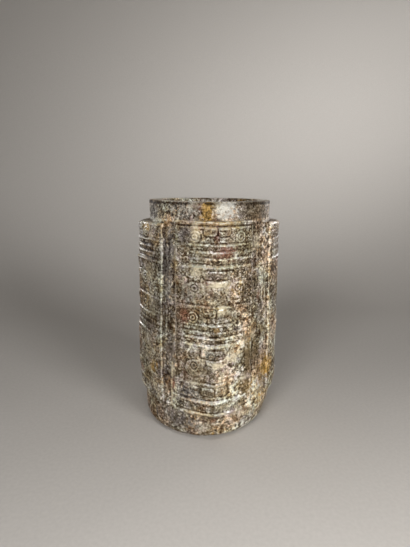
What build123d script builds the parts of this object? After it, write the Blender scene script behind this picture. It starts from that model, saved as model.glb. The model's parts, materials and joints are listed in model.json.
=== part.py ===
from build123d import *
import os
from math import atan, cos, degrees, radians, sin, sqrt
from typing import NamedTuple

# A cong: one stone tube with four carved corner blocks, divided along the lines of its carving.
# Sizes are in millimetres. The origin is the centre of the foot, +Z is up, and each ridge faces along an axis.

# Tube and collars: the tube widens from its top to its foot, and the lower collar has a worn, rounded foot
tube_top_radius = 40.0
tube_foot_radius = 43.0
wall_thickness = 7.5
upper_collar_height = 11.8
lower_collar_height = 20.5
lower_collar_reach = 2.0
rim_round = 0.8
foot_round = 7.0

# How far a corner block's plain faces stand out from the tube at its foot, and how far they draw in by its top
ridge_reach = 6.8
edge_reach = 1.3
face_draw_in = 3.5

# Radius in plan of the slightly swollen faces, at the foot
face_plan_radius = 80.0

# Angles in plan from a ridge to the side edges of its block, left and right as seen facing the ridge
front_left_spread = 33.0
front_right_spread = 35.5
right_left_spread = 28.0
left_right_spread = 43.0
rear_spread = 34.0

# How far the carving stands proud of the plain faces, at the ridge and at the side edges
high_relief_ridge = 1.5
high_relief_edge = 0.7
low_relief_ridge = 0.9
low_relief_edge = 0.5

# Heights of the carved registers, from the top of a block down
upper_face_height = 12.2
upper_band_height = 12.8
upper_beast_height = 23.7
middle_face_height = 11.3
middle_band_height = 12.9
lower_beast_height = 24.6
lower_face_height = 12.1
foot_band_height = 8.1

# Strips that narrow grooves divide the bands into: the upper ones, and what is left below them
upper_strip_height = 3.9
middle_strip_height = 3.0
foot_strip_height = 3.0
strip_groove_width = 0.7

# Nose bars across the ridge, each measured down from the top of its register
face_nose_width = 15.2
face_nose_height = 4.8
face_nose_drop = 2.0
face_nose_corner = 1.2
upper_beast_nose_width = 18.4
lower_beast_nose_width = 14.8
beast_nose_height = 4.6
beast_nose_drop = 2.5
beast_nose_corner = 2.2

# Ringed eyes of the human faces, set out along the face from the ridge and up from the foot of the register
face_eye_radius = 3.1
face_eye_distance = 14.4
face_eye_margin = 1.0
face_ring_radius = 2.3
face_pupil_radius = 0.8

# Oval eye pads of the beasts, with a drilled ring a little above the middle of each pad
beast_pad_width = 12.0
beast_pad_height = 10.4
beast_pad_tilt = 12.0
beast_eye_distance = 13.8
beast_eye_margin = 3.6
beast_ring_rise = 1.6
beast_ring_radius = 2.2
beast_pupil_radius = 0.6

# Drilled rings and pupils
ring_groove_width = 0.55
ring_groove_depth = 0.35

# Brow panels between the beasts' eyes, fans that stand on the foot of the register
brow_top_width = 6.0
brow_foot_width = 17.0
brow_height = 12.4
brow_margin = 0.6
brow_eye_gap = 0.6

# Lengths that follow from the sizes above
bore_radius = tube_top_radius - wall_thickness
lower_collar_radius = tube_foot_radius + lower_collar_reach
block_foot = lower_collar_height
block_height = (
    upper_face_height
    + upper_band_height
    + upper_beast_height
    + middle_face_height
    + middle_band_height
    + lower_beast_height
    + lower_face_height
    + foot_band_height
)
block_top = block_foot + block_height
face_taper = degrees(atan(face_draw_in / block_height))
tube_taper = degrees(atan((tube_foot_radius - tube_top_radius) / block_height))
cutter_reach = 2 * (tube_foot_radius + ridge_reach + high_relief_ridge)

# Levels where one register gives way to the next, from the top down
upper_face_foot = block_top - upper_face_height
upper_band_foot = upper_face_foot - upper_band_height
upper_beast_foot = upper_band_foot - upper_beast_height
middle_face_foot = upper_beast_foot - middle_face_height
middle_band_foot = middle_face_foot - middle_band_height
lower_beast_foot = middle_band_foot - lower_beast_height
lower_face_foot = lower_beast_foot - lower_face_height

face_tops = [block_top, upper_beast_foot, lower_beast_foot]
face_feet = [upper_face_foot, middle_face_foot, lower_face_foot]
beast_tops = [upper_band_foot, middle_band_foot]
beast_feet = [upper_beast_foot, lower_beast_foot]
beast_nose_widths = [upper_beast_nose_width, lower_beast_nose_width]
face_eye_levels = [foot + face_eye_margin + face_eye_radius for foot in face_feet]
beast_eye_levels = [foot + beast_eye_margin + beast_pad_height / 2 for foot in beast_feet]

# The foot and top of each strip of the bands
strips = [
    (lower_face_foot - foot_strip_height, lower_face_foot),
    (block_foot, lower_face_foot - foot_strip_height - strip_groove_width),
]
for band_foot, band_top in ((upper_band_foot, upper_face_foot), (middle_band_foot, middle_face_foot)):
    first_groove = band_top - upper_strip_height - strip_groove_width
    second_groove = first_groove - middle_strip_height - strip_groove_width
    strips += [
        (band_top - upper_strip_height, band_top),
        (first_groove - middle_strip_height, first_groove),
        (band_foot, second_groove),
    ]


class Corner(NamedTuple):
    name: str
    heading: float
    left_spread: float
    right_spread: float


corners = [
    Corner("front", -90.0, front_left_spread, front_right_spread),
    Corner("right", 0.0, right_left_spread, rear_spread),
    Corner("back", 90.0, rear_spread, rear_spread),
    Corner("left", 180.0, rear_spread, left_right_spread),
]


def plan_point(radius, angle, z=0.0):
    """The point at a radius from the axis and an angle in plan."""
    return Vector(radius * cos(radians(angle)), radius * sin(radians(angle)), z)


def face_centre(corner, side, ridge_relief, edge_relief):
    """The centre in plan of the arc that a face follows, on the left (-1) or right (1) of the ridge."""
    spread = corner.right_spread if side > 0 else -corner.left_spread
    ridge = plan_point(tube_foot_radius + ridge_reach + ridge_relief, corner.heading)
    edge = plan_point(tube_foot_radius + edge_reach + edge_relief, corner.heading + spread)
    chord = edge - ridge
    outward = chord.cross(Vector(0, 0, side)).normalized()
    return (ridge + edge) / 2 - outward * sqrt(face_plan_radius**2 - (chord.length / 2) ** 2)


def block_solid(corner, ridge_relief, edge_relief):
    """A corner block from the tube out to its faces, which are raised by the relief."""
    with BuildPart() as block:
        with BuildSketch(Plane.XY.offset(block_foot)):
            with Locations(face_centre(corner, -1, ridge_relief, edge_relief)):
                Circle(face_plan_radius)
            with Locations(face_centre(corner, 1, ridge_relief, edge_relief)):
                Circle(face_plan_radius, mode=Mode.INTERSECT)
        extrude(amount=block_height, taper=face_taper)
        with BuildSketch(Plane.XY.offset(block_foot)):
            with BuildLine():
                Polyline(
                    (0, 0),
                    plan_point(cutter_reach, corner.heading - corner.left_spread),
                    plan_point(cutter_reach, corner.heading + corner.right_spread),
                    close=True,
                )
            make_face()
        extrude(amount=block_height, mode=Mode.INTERSECT)
        with BuildSketch(Plane.XY.offset(block_foot)):
            Circle(tube_foot_radius)
        extrude(amount=block_height, taper=tube_taper, mode=Mode.SUBTRACT)
    return block.part


def face_plane(corner, side, distance, z):
    """The plane that touches a low relief face at a level and a distance from the ridge, with its Y up the face."""
    centre = face_centre(corner, side, low_relief_ridge, low_relief_edge)
    to_ridge = plan_point(tube_foot_radius + ridge_reach + low_relief_ridge, corner.heading) - centre
    outward = to_ridge.rotate(Axis.Z, side * degrees(distance / face_plan_radius)).normalized()
    radius = face_plan_radius - face_draw_in * (z - block_foot) / block_height
    lean = Vector(0, 0, face_draw_in / block_height)
    touch = Vector(centre.X, centre.Y, z) + outward * radius
    return Plane(touch, x_dir=outward.rotate(Axis.Z, 90), z_dir=outward + lean)


def ridge_plane(corner):
    """The upright plane through the axis that faces the way the ridge faces."""
    return Plane((0, 0, 0), x_dir=plan_point(1, corner.heading + 90), z_dir=plan_point(1, corner.heading))


os.makedirs("parts", exist_ok=True)

with BuildPart() as upper_collar:
    with BuildSketch(Plane.XY.offset(block_top)):
        Circle(tube_top_radius)
        Circle(bore_radius, mode=Mode.SUBTRACT)
    extrude(amount=upper_collar_height)
    fillet(upper_collar.faces().sort_by(Axis.Z)[-1].edges(), radius=rim_round)
upper_collar.part.label = "upper_collar"
export_step(upper_collar.part, "parts/upper_collar.step")

with BuildPart() as tube_wall:
    with BuildSketch(Plane.XY.offset(block_foot)):
        Circle(tube_foot_radius)
    extrude(amount=block_height, taper=tube_taper)
    with BuildSketch(Plane.XY.offset(block_foot)):
        Circle(bore_radius)
    extrude(amount=block_height, mode=Mode.SUBTRACT)
tube_wall.part.label = "tube_wall"
export_step(tube_wall.part, "parts/tube_wall.step")

with BuildPart() as lower_collar:
    with BuildSketch():
        Circle(lower_collar_radius)
        Circle(bore_radius, mode=Mode.SUBTRACT)
    extrude(amount=lower_collar_height)
    foot_edges = lower_collar.faces().sort_by(Axis.Z)[0].edges().sort_by(SortBy.RADIUS)
    fillet(foot_edges[0], radius=rim_round)
    fillet(foot_edges[-1], radius=foot_round)
    shoulder = lower_collar.faces().sort_by(Axis.Z)[-1].edges().sort_by(SortBy.RADIUS)[-1]
    fillet(shoulder, radius=rim_round)
lower_collar.part.label = "lower_collar"
export_step(lower_collar.part, "parts/lower_collar.step")

for corner in corners:
    plain_block = block_solid(corner, 0, 0)
    low_block = block_solid(corner, low_relief_ridge, low_relief_edge)
    high_block = block_solid(corner, high_relief_ridge, high_relief_edge)

    # The block with its plain recessed faces
    plain_block.label = f"corner_block_{corner.name}"
    export_step(plain_block, f"parts/corner_block_{corner.name}.step")

    # The strips of the raised bands, with open grooves between them
    with BuildPart() as bands:
        for foot, top in strips:
            with BuildSketch(Plane.XY.offset(foot)):
                Circle(cutter_reach)
            extrude(amount=top - foot)
        add(high_block, mode=Mode.INTERSECT)
        add(plain_block, mode=Mode.SUBTRACT)
    bands.part.label = f"bands_{corner.name}"
    export_step(bands.part, f"parts/bands_{corner.name}.step")

    # The nose bars: rounded bars on the human faces, deeper bowls on the beasts
    with BuildPart() as noses:
        for top in face_tops:
            with BuildSketch(ridge_plane(corner)):
                with Locations((0, top - face_nose_drop - face_nose_height / 2)):
                    RectangleRounded(face_nose_width, face_nose_height, face_nose_corner)
            extrude(amount=cutter_reach)
        for top, width in zip(beast_tops, beast_nose_widths):
            with BuildSketch(ridge_plane(corner)) as bowl:
                with Locations((0, top - beast_nose_drop - beast_nose_height / 2)):
                    Rectangle(width, beast_nose_height)
                fillet(bowl.vertices().group_by(Axis.Y)[0], radius=beast_nose_corner)
            extrude(amount=cutter_reach)
        add(high_block, mode=Mode.INTERSECT)
        add(plain_block, mode=Mode.SUBTRACT)
    noses.part.label = f"noses_{corner.name}"
    export_step(noses.part, f"parts/noses_{corner.name}.step")

    # The brow panels, cut back round the eye pads
    with BuildPart() as brow_panels:
        for foot in beast_feet:
            panel_foot = foot + brow_margin
            with BuildSketch(ridge_plane(corner)):
                with BuildLine():
                    Polyline(
                        (-brow_foot_width / 2, panel_foot),
                        (brow_foot_width / 2, panel_foot),
                        (brow_top_width / 2, panel_foot + brow_height),
                        (-brow_top_width / 2, panel_foot + brow_height),
                        close=True,
                    )
                make_face()
            extrude(amount=cutter_reach)
        add(low_block, mode=Mode.INTERSECT)
        add(plain_block, mode=Mode.SUBTRACT)
        for z in beast_eye_levels:
            for side in (-1, 1):
                with BuildSketch(face_plane(corner, side, beast_eye_distance, z)):
                    with Locations(Rotation(0, 0, -side * beast_pad_tilt)):
                        Ellipse(beast_pad_width / 2 + brow_eye_gap, beast_pad_height / 2 + brow_eye_gap)
                extrude(amount=wall_thickness, both=True, mode=Mode.SUBTRACT)
    brow_panels.part.label = f"brow_panels_{corner.name}"
    export_step(brow_panels.part, f"parts/brow_panels_{corner.name}.step")

    # The beasts' eye pads, each with its drilled ring and pupil
    with BuildPart() as beast_eyes:
        for z in beast_eye_levels:
            for side in (-1, 1):
                groove_floor = face_plane(corner, side, beast_eye_distance, z).offset(-ring_groove_depth)
                with BuildSketch(groove_floor):
                    with Locations(Rotation(0, 0, -side * beast_pad_tilt)):
                        Ellipse(beast_pad_width / 2, beast_pad_height / 2)
                extrude(amount=-wall_thickness)
                with BuildSketch(groove_floor):
                    with Locations(Rotation(0, 0, -side * beast_pad_tilt)):
                        Ellipse(beast_pad_width / 2, beast_pad_height / 2)
                    with Locations((0, beast_ring_rise)):
                        Circle(beast_ring_radius, mode=Mode.SUBTRACT)
                        Circle(beast_ring_radius - ring_groove_width)
                        Circle(beast_pupil_radius, mode=Mode.SUBTRACT)
                extrude(amount=wall_thickness)
        add(low_block, mode=Mode.INTERSECT)
        add(plain_block, mode=Mode.SUBTRACT)
    beast_eyes.part.label = f"beast_eyes_{corner.name}"
    export_step(beast_eyes.part, f"parts/beast_eyes_{corner.name}.step")

    # The human faces' small round eyes, each with its drilled ring and pupil
    with BuildPart() as face_eyes:
        for z in face_eye_levels:
            for side in (-1, 1):
                groove_floor = face_plane(corner, side, face_eye_distance, z).offset(-ring_groove_depth)
                with BuildSketch(groove_floor):
                    Circle(face_eye_radius)
                extrude(amount=-wall_thickness)
                with BuildSketch(groove_floor):
                    Circle(face_eye_radius)
                    Circle(face_ring_radius, mode=Mode.SUBTRACT)
                    Circle(face_ring_radius - ring_groove_width)
                    Circle(face_pupil_radius, mode=Mode.SUBTRACT)
                extrude(amount=wall_thickness)
        add(low_block, mode=Mode.INTERSECT)
        add(plain_block, mode=Mode.SUBTRACT)
    face_eyes.part.label = f"face_eyes_{corner.name}"
    export_step(face_eyes.part, f"parts/face_eyes_{corner.name}.step")
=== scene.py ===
import json
import math
from typing import NamedTuple

import bpy
import numpy as np
from mathutils import Matrix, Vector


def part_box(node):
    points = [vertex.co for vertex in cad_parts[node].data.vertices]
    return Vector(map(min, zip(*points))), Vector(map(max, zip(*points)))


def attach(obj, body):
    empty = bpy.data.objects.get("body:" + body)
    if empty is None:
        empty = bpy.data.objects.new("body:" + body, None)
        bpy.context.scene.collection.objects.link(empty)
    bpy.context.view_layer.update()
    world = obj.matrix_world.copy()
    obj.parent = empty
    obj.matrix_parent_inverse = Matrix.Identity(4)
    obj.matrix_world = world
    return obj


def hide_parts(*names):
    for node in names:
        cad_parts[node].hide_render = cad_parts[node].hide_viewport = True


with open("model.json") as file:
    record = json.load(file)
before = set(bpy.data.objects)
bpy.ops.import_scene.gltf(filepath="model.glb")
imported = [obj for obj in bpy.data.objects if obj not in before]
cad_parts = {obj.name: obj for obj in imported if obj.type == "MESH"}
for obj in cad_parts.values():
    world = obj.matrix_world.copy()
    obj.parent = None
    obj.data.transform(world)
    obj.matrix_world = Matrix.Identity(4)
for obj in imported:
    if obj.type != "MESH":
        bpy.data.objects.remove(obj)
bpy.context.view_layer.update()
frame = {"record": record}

# Sizes are in millimetres, as a carver would measure them, and meshes are written in metres.
MILLIMETRE = 0.001


def box_of(node):
    """Lowest and highest corner of a solid, in millimetres."""
    low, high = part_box(node)
    return np.array(low) / MILLIMETRE, np.array(high) / MILLIMETRE


# The tube, its collars and its bore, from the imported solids
tube_low, tube_high = box_of("tube_wall")
block_foot = tube_low[2]
block_top = tube_high[2]
block_height = block_top - block_foot
tube_foot_radius = tube_high[0]
tube_top_radius = box_of("upper_collar")[1][0]
tube_height = box_of("upper_collar")[1][2]
lower_collar_radius = box_of("lower_collar")[1][0]
bore_radius = next(mount for mount in frame["record"]["mounts"] if mount["name"] == "bore")["dims"]["r_mm"]
rim_round = 0.8
foot_round = 5.0
foot_blend = 4.5

# The plain faces of the corner blocks: how far they reach at the ridge and beside the channels, and their
# swell in plan. The worn faces stand a little over them, and keep only a share of the relief at their edges.
ridge_radius = -box_of("corner_block_front")[0][1]
edge_radius = tube_foot_radius + 1.3
face_plan_radius = 80.0
face_rise = 0.45
edge_share = 0.5

# How finely the stone is meshed
row_step = 0.33
column_step = 0.4
ring_step = 0.5
bore_step = 2.0
fine_edge = 1.0

# A bump or dip this far off its surroundings counts as fully worn or fully hollow
full_relief = 0.24


class Corner(NamedTuple):
    """A corner block. Its heading, its spread to each side and its ridge's lean are in degrees."""

    heading: float
    left_spread: float
    right_spread: float
    lean: float
    draw_in: float  # how far its faces draw in towards the top
    top_wear: float  # how far its top edge is worn down, or below 0 where it stands up
    foot_drop: float  # how far its foot runs down over the lower collar
    top_clarity: float  # how deep the carving still is near its top, where 1 is as on the front
    foot_clarity: float  # and near its foot
    skew: float  # how far its masks follow their shifts off centre
    seed: int


CORNERS = {
    "front": Corner(
        heading=-90.0, left_spread=33.0, right_spread=35.5, lean=3.6, draw_in=3.5, top_wear=-1.2,
        foot_drop=3.4, top_clarity=1.0, foot_clarity=1.0, skew=1.0, seed=100,
    ),
    "right": Corner(
        heading=0.0, left_spread=28.0, right_spread=34.0, lean=-0.8, draw_in=2.2, top_wear=1.2,
        foot_drop=1.5, top_clarity=0.6, foot_clarity=0.7, skew=-0.6, seed=120,
    ),
    "back": Corner(
        heading=90.0, left_spread=34.0, right_spread=34.0, lean=1.5, draw_in=3.5, top_wear=0.6,
        foot_drop=2.0, top_clarity=0.9, foot_clarity=0.8, skew=0.5, seed=140,
    ),
    "left": Corner(
        heading=180.0, left_spread=34.0, right_spread=43.0, lean=0.9, draw_in=2.8, top_wear=1.4,
        foot_drop=8.0, top_clarity=1.35, foot_clarity=0.9, skew=-0.7, seed=160,
    ),
}


class Mask(NamedTuple):
    """A mask: its register's foot, its nose bar and its eyes, their shifts off centre and their depths."""

    foot: float
    nose_foot: float
    nose_top: float
    nose_half: float
    nose_shift: float
    nose_depth: float
    eye_level: float
    eye_shift: float
    eye_depth: float


FACES = (
    Mask(
        foot=126.0, nose_foot=131.2, nose_top=135.9, nose_half=8.2, nose_shift=-1.2, nose_depth=0.5,
        eye_level=130.4, eye_shift=-0.2, eye_depth=0.9,
    ),
    Mask(
        foot=78.2, nose_foot=83.3, nose_top=88.2, nose_half=8.0, nose_shift=0.3, nose_depth=0.36,
        eye_level=82.0, eye_shift=0.3, eye_depth=0.9,
    ),
    Mask(
        foot=28.6, nose_foot=33.0, nose_top=38.2, nose_half=8.8, nose_shift=0.8, nose_depth=0.4,
        eye_level=33.8, eye_shift=0.2, eye_depth=0.1,
    ),
)
BEASTS = (
    Mask(
        foot=89.5, nose_foot=106.2, nose_top=110.7, nose_half=9.7, nose_shift=0.9, nose_depth=0.42,
        eye_level=100.3, eye_shift=0.0, eye_depth=1.0,
    ),
    Mask(
        foot=40.7, nose_foot=57.3, nose_top=62.3, nose_half=7.6, nose_shift=-1.4, nose_depth=0.45,
        eye_level=51.5, eye_shift=1.2, eye_depth=0.9,
    ),
)

# Ledges that face up over a whole corner: the level, and how far the stone steps out below it
STRONG_LEDGES = ((113.2, 0.95), (65.3, 0.95), (28.6, 0.85))
THIN_LEDGES = (
    (126.0, 0.5), (121.7, 0.5), (118.0, 0.45), (89.4, 0.6), (78.2, 0.6),
    (73.6, 0.35), (70.2, 0.5), (40.6, 0.6), (20.1, 0.85),
)
# Levels of the fine lines that are cut between the topmost ledges
FINE_LINES = (125.0, 124.0, 123.0)


# Noise

def lumps(points, size, seed):
    """Smooth random lumps of about one size at points in millimetres, from -1 to 1."""
    cells = 40
    above_zero = 1000.0
    lattice = np.random.default_rng(seed).uniform(-1.0, 1.0, (cells, cells, cells))
    place = points / size + above_zero
    cell = np.floor(place).astype(int)
    part = place - cell
    part = part * part * (3.0 - 2.0 * part)
    total = np.zeros(points.shape[:-1])
    for dx in (0, 1):
        for dy in (0, 1):
            for dz in (0, 1):
                step = np.array((dx, dy, dz))
                weight = np.prod(np.where(step == 1, part, 1.0 - part), axis=-1)
                x, y, z = np.moveaxis((cell + step) % cells, -1, 0)
                total += weight * lattice[x, y, z]
    return total


def ramp(value, low, high):
    """0 below low, 1 above high, with a smooth rise between them."""
    part = np.clip((value - low) / (high - low), 0.0, 1.0)
    return part * part * (3.0 - 2.0 * part)


def blurred(field, reach):
    """A field averaged over a few grid steps each way."""
    for axis in (0, 1):
        pad = [(0, 0), (0, 0)]
        pad[axis] = (reach, reach)
        padded = np.pad(field, pad, mode="edge")
        span = field.shape[axis]
        total = 0.0
        for shift in range(2 * reach + 1):
            total = total + np.take(padded, np.arange(shift, shift + span), axis=axis)
        field = total / (2 * reach + 1)
    return field


# Stains

class Stain(NamedTuple):
    """A stained patch: its kind, its turn from the front ridge in degrees, its level, its half sizes and its
    strength."""

    kind: str
    turn: float
    level: float
    half_width: float
    half_height: float
    strength: float


STAIN_KINDS = ("chalk", "polish_and_sheen", "cream_and_highlight", "slate", "ochre", "rust", "violet", "olive", "umber_and_shadow")

# The stains that the photo shows, by kind and from the top down. A bare patch has lost its carving, and has
# no colour of its own.
SEEN_PATCHES = {
    "chalk": (
        (-40.0, 143.0, 4.0, 5.0, 0.5), (57.0, 123.0, 8.0, 10.0, 1.0), (-13.6, 107.2, 7.0, 3.0, 0.5),
        (74.0, 104.0, 6.0, 22.0, 0.5), (52.0, 98.0, 6.0, 12.0, 0.3), (22.0, 78.0, 7.0, 8.0, 0.6),
        (62.0, 70.0, 9.0, 16.0, 0.45), (24.0, 63.0, 6.0, 5.5, 1.0), (-8.0, 62.0, 6.0, 2.6, 0.5),
        (-10.0, 59.0, 5.0, 3.0, 0.5), (15.0, 46.0, 8.0, 8.0, 0.9), (-15.0, 37.0, 6.0, 3.0, 0.5),
        (70.0, 36.0, 8.0, 18.0, 0.5), (-36.5, 32.0, 3.0, 9.0, 0.6), (16.0, 31.0, 6.0, 7.0, 0.9),
        (40.0, 22.0, 9.0, 10.0, 0.8), (24.0, 8.0, 13.0, 8.0, 0.75),
    ),
    # The smooth patch on the upper collar is polished skin, and its pale grey colour is a painted highlight
    "polish_and_sheen": (
        (9.5, 146.0, 6.0, 6.0, 1.0),
    ),
    # The pale patches here that lie along the front ridge, and the thin ones along ledges and block edges,
    # are painted highlights; the others are pale skin
    "cream_and_highlight": (
        (-16.0, 148.0, 5.0, 3.0, 0.6), (-5.0, 135.0, 4.0, 3.0, 0.45), (-72.0, 133.0, 5.0, 3.0, 0.9),
        (-15.1, 132.6, 2.8, 6.0, 1.0), (-18.0, 131.0, 8.0, 6.0, 0.3), (17.0, 131.0, 8.0, 6.0, 0.34),
        (17.5, 130.2, 3.0, 3.0, 0.5), (-65.0, 128.0, 5.0, 3.0, 0.5), (40.0, 127.0, 4.5, 7.0, 0.6),
        (15.2, 126.4, 5.0, 4.5, 0.42), (-9.5, 119.4, 7.0, 1.8, 0.4), (-34.6, 118.0, 0.9, 8.0, 0.7),
        (-13.5, 110.5, 5.0, 4.0, 0.75), (-13.0, 109.6, 5.5, 2.8, 0.7), (-66.0, 104.0, 5.0, 6.0, 0.45),
        (-7.0, 103.4, 3.5, 2.2, 0.6), (1.5, 102.6, 7.5, 2.4, 1.0), (-24.7, 101.0, 5.0, 5.0, 0.45),
        (-24.0, 100.5, 4.0, 4.0, 0.4), (9.0, 99.0, 3.0, 4.0, 0.5), (-15.0, 98.0, 10.0, 9.0, 0.42),
        (5.8, 94.1, 5.0, 4.0, 0.42), (-0.2, 92.7, 2.6, 1.5, 0.7), (5.0, 87.6, 2.8, 3.4, 1.0),
        (-62.0, 84.0, 4.0, 7.0, 0.45), (12.0, 84.0, 7.0, 5.0, 0.34), (-60.0, 80.0, 6.0, 5.0, 0.42),
        (37.0, 67.0, 4.0, 4.0, 0.6), (30.0, 64.0, 5.0, 5.0, 0.6), (19.0, 58.8, 5.0, 3.0, 0.6),
        (-67.0, 58.0, 4.0, 6.0, 0.4), (-13.3, 58.0, 5.0, 4.5, 0.35), (17.6, 57.5, 5.0, 4.5, 0.7),
        (11.5, 55.8, 4.0, 1.9, 0.8), (-8.5, 55.0, 3.5, 2.6, 0.6), (3.0, 53.0, 4.4, 2.0, 1.0),
        (-66.0, 49.0, 5.0, 5.0, 0.45), (-14.0, 48.0, 10.0, 8.0, 0.42), (9.0, 46.0, 6.0, 4.0, 0.4),
        (-36.4, 42.0, 0.9, 24.0, 0.85), (6.7, 42.0, 5.0, 4.0, 0.5), (28.0, 40.5, 4.0, 2.6, 0.7),
        (-13.3, 40.0, 6.0, 4.5, 0.4), (4.0, 39.4, 5.0, 1.0, 0.6), (6.0, 36.5, 4.5, 3.0, 0.5),
        (-3.0, 34.0, 6.0, 4.0, 0.35), (-58.0, 27.0, 6.0, 5.0, 0.42), (8.5, 24.5, 5.0, 2.4, 0.5),
        (48.0, 24.0, 5.0, 6.0, 0.6), (-9.0, 20.2, 7.0, 0.8, 1.0), (7.0, 20.2, 5.5, 0.8, 0.9),
        (19.0, 19.5, 6.0, 4.0, 0.5), (29.0, 14.5, 5.0, 2.4, 0.7), (-12.0, 9.0, 14.0, 5.0, 0.4),
    ),
    "slate": (
        (-25.0, 146.0, 8.0, 6.0, 0.8), (-22.0, 96.0, 4.0, 7.0, 0.6), (-4.0, 60.0, 4.5, 2.6, 0.8),
        (-20.0, 33.0, 7.0, 4.5, 0.9), (-12.0, 29.5, 9.0, 1.6, 0.9), (-17.0, 10.0, 9.0, 4.0, 0.5),
    ),
    "ochre": (
        (53.0, 146.0, 5.0, 4.0, 0.5), (-6.0, 144.0, 3.6, 9.0, 1.0), (-70.0, 134.4, 3.4, 3.2, 0.9),
        (-74.0, 133.0, 3.0, 2.4, 0.6), (-15.1, 132.6, 2.8, 6.5, 0.35), (-57.4, 124.0, 3.0, 3.0, 0.6),
        (19.4, 100.0, 5.0, 6.5, 0.5), (-68.0, 87.0, 2.0, 12.0, 0.45), (1.8, 76.1, 2.0, 2.4, 0.8),
        (-59.5, 41.0, 3.0, 4.0, 0.8), (62.0, 38.0, 9.0, 9.0, 1.0), (33.0, 34.0, 6.0, 5.0, 0.75),
        (50.0, 22.0, 9.0, 10.0, 0.5),
    ),
    "rust": (
        (-12.6, 147.0, 2.4, 4.0, 0.6), (1.5, 130.0, 1.5, 10.0, 0.8), (8.5, 121.6, 6.5, 4.2, 1.0),
        (13.0, 117.6, 5.0, 2.4, 0.6), (45.6, 90.4, 2.0, 4.0, 0.8), (-24.6, 82.0, 5.0, 5.0, 0.9),
        (1.0, 14.0, 3.0, 3.0, 0.7),
    ),
    "violet": (
        (-23.3, 131.5, 5.0, 6.0, 0.8), (40.0, 117.0, 4.0, 7.0, 0.5), (-42.0, 112.0, 5.0, 30.0, 1.0),
        (-24.0, 62.0, 5.0, 4.0, 0.5), (-40.3, 57.0, 5.0, 10.0, 1.0), (-43.0, 52.0, 4.5, 36.0, 0.6),
        (-23.0, 34.0, 4.5, 4.5, 0.7), (-25.0, 29.0, 5.0, 5.0, 0.65), (-24.0, 12.0, 14.0, 7.0, 0.6),
    ),
    "olive": (
        (46.0, 145.0, 10.0, 8.0, 0.5), (1.5, 70.0, 1.6, 3.4, 0.9), (42.0, 55.0, 4.0, 9.0, 1.0),
        (31.0, 54.0, 4.5, 13.0, 1.0), (-15.4, 50.7, 5.0, 6.0, 0.35), (11.2, 36.0, 1.3, 4.0, 0.9),
        (27.0, 34.0, 6.0, 4.6, 0.9),
    ),
    # The thin dark brown strips on the front ridge just under the noses and ledges, and those under the front
    # block's foot on the lower collar, are painted shadow
    "umber_and_shadow": (
        (29.0, 146.0, 6.0, 7.0, 0.9), (38.0, 146.0, 7.0, 8.0, 0.9), (53.0, 146.0, 8.0, 7.0, 0.75),
        (44.0, 145.0, 15.0, 9.0, 1.0), (-68.0, 145.0, 7.0, 8.0, 0.9), (43.0, 134.0, 6.0, 5.0, 0.45),
        (-30.5, 122.0, 2.0, 8.0, 0.5), (-66.0, 121.0, 8.0, 5.0, 0.8), (80.0, 120.0, 8.0, 9.0, 0.7),
        (4.0, 115.6, 5.0, 1.5, 0.8), (17.5, 115.0, 4.0, 3.0, 0.5), (-66.0, 113.6, 8.0, 1.8, 0.9),
        (15.0, 110.0, 5.0, 4.0, 0.5), (0.5, 108.6, 8.0, 1.6, 0.55), (72.0, 108.0, 7.0, 24.0, 0.56),
        (1.0, 106.9, 7.0, 0.9, 0.7), (-70.0, 105.0, 5.0, 24.0, 0.3), (-14.0, 100.6, 2.0, 2.0, 0.7),
        (33.0, 97.0, 4.0, 16.0, 0.6), (39.0, 97.0, 4.0, 14.0, 0.8), (0.0, 96.2, 6.0, 2.4, 0.65),
        (26.0, 94.0, 3.0, 8.0, 0.5), (76.0, 84.0, 5.0, 9.0, 0.6), (2.0, 82.2, 6.0, 1.5, 0.8),
        (48.0, 79.0, 6.0, 6.0, 0.5), (50.0, 78.0, 5.0, 9.0, 0.6), (-4.0, 75.0, 11.0, 4.5, 0.46),
        (-17.5, 74.0, 5.0, 3.0, 0.5), (-66.0, 72.0, 7.0, 3.5, 0.7), (-3.4, 70.5, 5.0, 3.0, 0.5),
        (-30.0, 68.0, 2.2, 28.0, 0.9), (2.5, 67.6, 5.0, 1.3, 0.8), (1.0, 58.6, 5.0, 1.6, 0.6),
        (-41.0, 56.0, 4.0, 10.0, 0.6), (-15.0, 51.4, 2.0, 2.0, 0.7), (-3.0, 46.5, 4.0, 3.2, 0.6),
        (-3.0, 35.0, 6.0, 1.8, 0.8), (2.0, 23.0, 5.0, 2.0, 0.7), (0.3, 23.0, 1.8, 3.2, 0.9),
        (0.5, 17.4, 1.5, 3.2, 1.0), (-2.0, 15.4, 9.0, 1.4, 0.95), (14.0, 9.0, 8.0, 5.0, 0.48),
    ),
    "bare": (
        (-62.0, 46.0, 16.0, 28.0, 1.0),
    ),
}


def scattered_stains(count, kinds, turns, half_widths, seed):
    """Stains of some kinds at random, between two turns and two sizes."""
    levels, tallness, strengths = (2.0, 148.0), (0.6, 2.2), (0.5, 1.0)
    draw = np.random.default_rng(seed)
    stains = []
    for number in range(count):
        kind = kinds[number % len(kinds)]
        turn = draw.uniform(*turns)
        level = draw.uniform(*levels)
        half_width = draw.uniform(*half_widths)
        half_height = half_width * draw.uniform(*tallness)
        stains.append(Stain(kind, turn, level, half_width, half_height, draw.uniform(*strengths)))
    return tuple(stains)


# The photo doesn't show the back, so its large stains are scattered, and small ones lie all round
BACK_KINDS = ("chalk", "umber_and_shadow", "ochre", "cream_and_highlight", "rust", "violet", "olive")
SMALL_KINDS = ("chalk", "umber_and_shadow", "violet", "rust", "ochre")
BACK_STAINS = scattered_stains(70, BACK_KINDS, (80.0, 280.0), (2.0, 6.0), 11)
SMALL_STAINS = scattered_stains(140, SMALL_KINDS, (-180.0, 180.0), (0.8, 2.4), 12)
SEEN_STAINS = tuple(Stain(kind, *patch) for kind, patches in SEEN_PATCHES.items() for patch in patches)
STAINS = SEEN_STAINS + BACK_STAINS + SMALL_STAINS


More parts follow.
